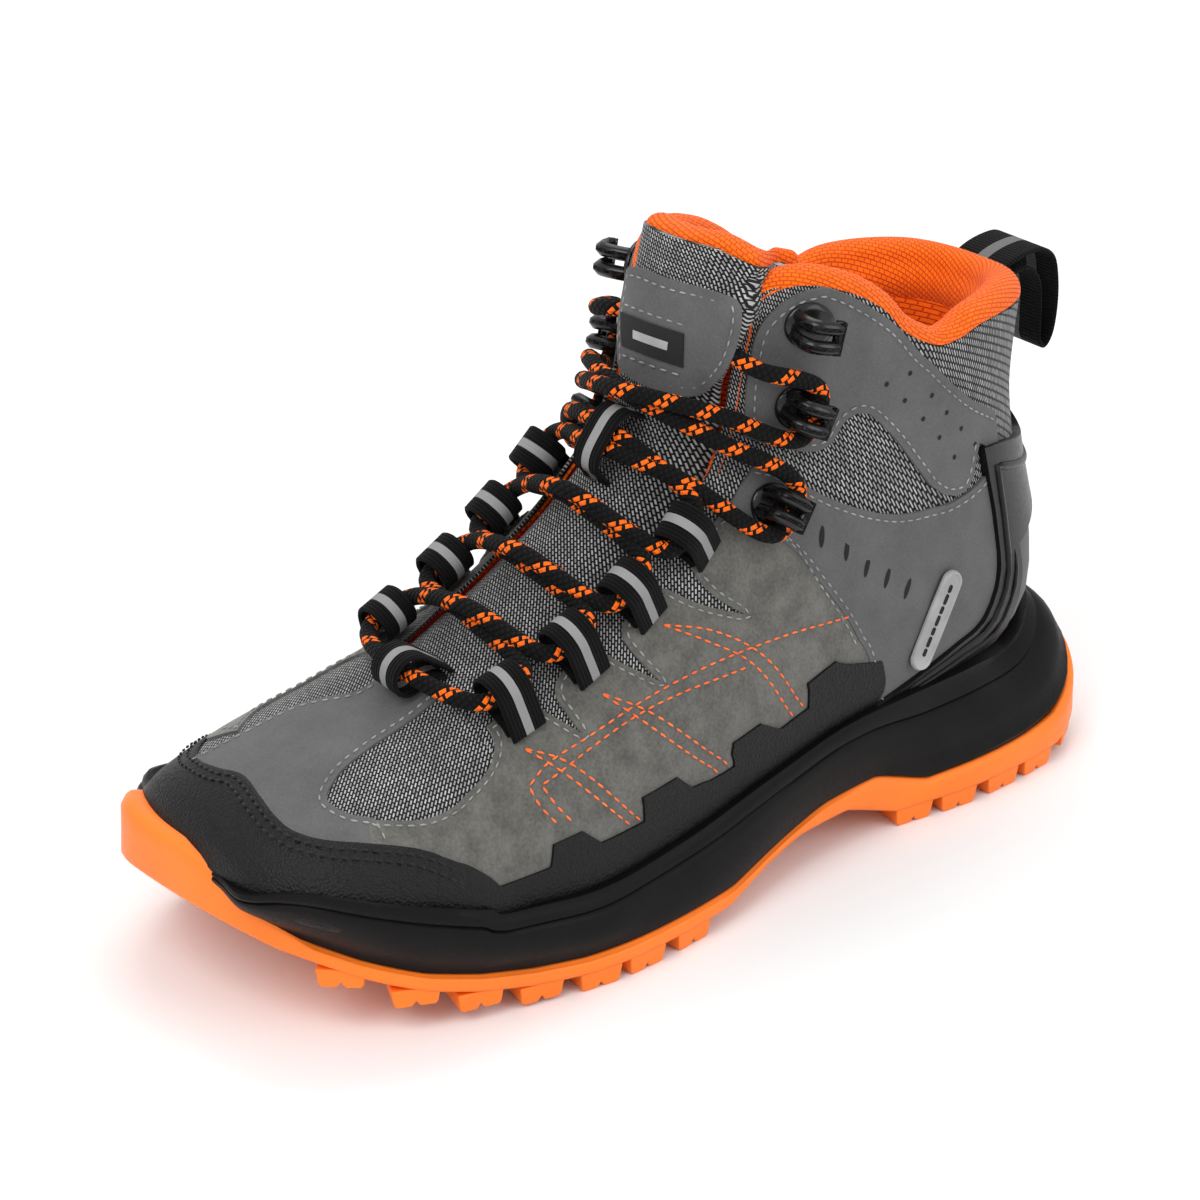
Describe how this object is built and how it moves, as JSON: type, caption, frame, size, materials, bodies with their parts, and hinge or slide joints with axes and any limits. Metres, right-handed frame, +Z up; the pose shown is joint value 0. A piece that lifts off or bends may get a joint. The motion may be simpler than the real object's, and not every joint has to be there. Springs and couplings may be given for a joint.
{
  "type": "hiking boot",
  "caption": "Mid-height laced hiking boot, left foot, with lugged sole, wrap rand, padded collar and tongue, pull tab and removable footbed.",
  "frame": {"origin": "on the ground under the middle of the bounding box", "axes": "+Z up, -Y towards the toe, +X to the lateral (outer) side of a left foot"},
  "size_m": [0.1189, 0.3022, 0.177],
  "materials": {
    "outsole_rubber": "matt orange rubber",
    "midsole_foam": "satin black moulded foam",
    "black_leather": "pebbled black leather",
    "grey_nubuck": "matt grey nubuck",
    "grey_suede": "mottled grey suede",
    "black_satin": "satin black plastic",
    "upper_mesh": "basket-weave textile",
    "orange_lining": "brushed orange lining textile",
    "board": "fibre board",
    "foam": "open-cell foam",
    "shank_steel": "spring steel",
    "webbing": "ribbed black webbing",
    "lace_braid": "black braid with orange flecks",
    "silver_trim": "satin silver"
  },
  "bodies": {
    "boot": {"outsole": "outsole_rubber", "midsole": "midsole_foam", "bottom_filler": "board", "shank": "shank_steel", "insole_board": "board", "vamp_lining": "orange_lining", "quarter_lining_lateral": "orange_lining", "quarter_lining_medial": "orange_lining", "collar_pad_lateral": "foam", "collar_pad_medial": "foam", "toe_puff": "board", "heel_counter": "board", "vamp_mesh": "upper_mesh", "quarter_mesh_lateral": "upper_mesh", "quarter_mesh_medial": "upper_mesh", "toe_cap": "black_leather", "vamp_strip": "grey_nubuck", "quarter_suede_lateral": "grey_suede", "quarter_suede_medial": "grey_suede", "rand_lateral": "black_satin", "rand_medial": "black_satin", "ankle_strap_lateral": "grey_nubuck", "ankle_strap_medial": "grey_nubuck", "collar_panel_lateral": "grey_nubuck", "collar_panel_medial": "grey_nubuck", "heel_stabiliser": "black_satin", "heel_panel": "grey_nubuck", "tongue_lower": "upper_mesh", "lace_loop_lateral_1": "webbing", "lace_loop_medial_1": "webbing", "lace_loop_lateral_2": "webbing", "lace_loop_medial_2": "webbing", "lace_loop_lateral_3": "webbing", "lace_loop_medial_3": "webbing", "lace_loop_lateral_4": "webbing", "lace_loop_medial_4": "webbing", "lace_loop_vamp": "webbing", "tongue_keeper": "webbing", "lace_hook_lateral_1": "black_satin", "hook_rivet_lateral_1": "shank_steel", "lace_hook_medial_1": "black_satin", "hook_rivet_medial_1": "shank_steel", "lace_hook_lateral_2": "black_satin", "hook_rivet_lateral_2": "shank_steel", "lace_hook_medial_2": "black_satin", "hook_rivet_medial_2": "shank_steel", "lace_hook_lateral_3": "black_satin", "hook_rivet_lateral_3": "shank_steel", "lace_hook_medial_3": "black_satin", "hook_rivet_medial_3": "shank_steel", "lace": "lace_braid", "lace_aglet_medial": "black_satin", "lace_aglet_lateral": "black_satin", "badge": "silver_trim"},
    "tongue_top": {"tongue_flap": "upper_mesh", "tongue_lining": "orange_lining", "tongue_patch": "grey_nubuck", "tongue_label": "webbing"},
    "pull_tab": {"pull_tab": "webbing"},
    "footbed": {"footbed": "orange_lining"}
  },
  "joints": [
    {"name": "tongue_fold", "type": "hinge", "parent": "boot", "child": "tongue_top", "pos_m": [0.0045, 0.001, 0.1435], "axis": [1, 0, 0], "range_deg": [0, 25], "stiffness_Nm_per_rad": 0.05},
    {"name": "pull_tab_lift", "type": "hinge", "parent": "boot", "child": "pull_tab", "pos_m": [0, 0.133, 0.1448], "axis": [1, 0, 0], "range_deg": [0, 100]},
    {"name": "footbed_lift", "type": "hinge", "parent": "boot", "child": "footbed", "pos_m": [0, -0.136, 0.044], "axis": [1, 0, 0], "range_deg": [0, 5]}
  ]
}
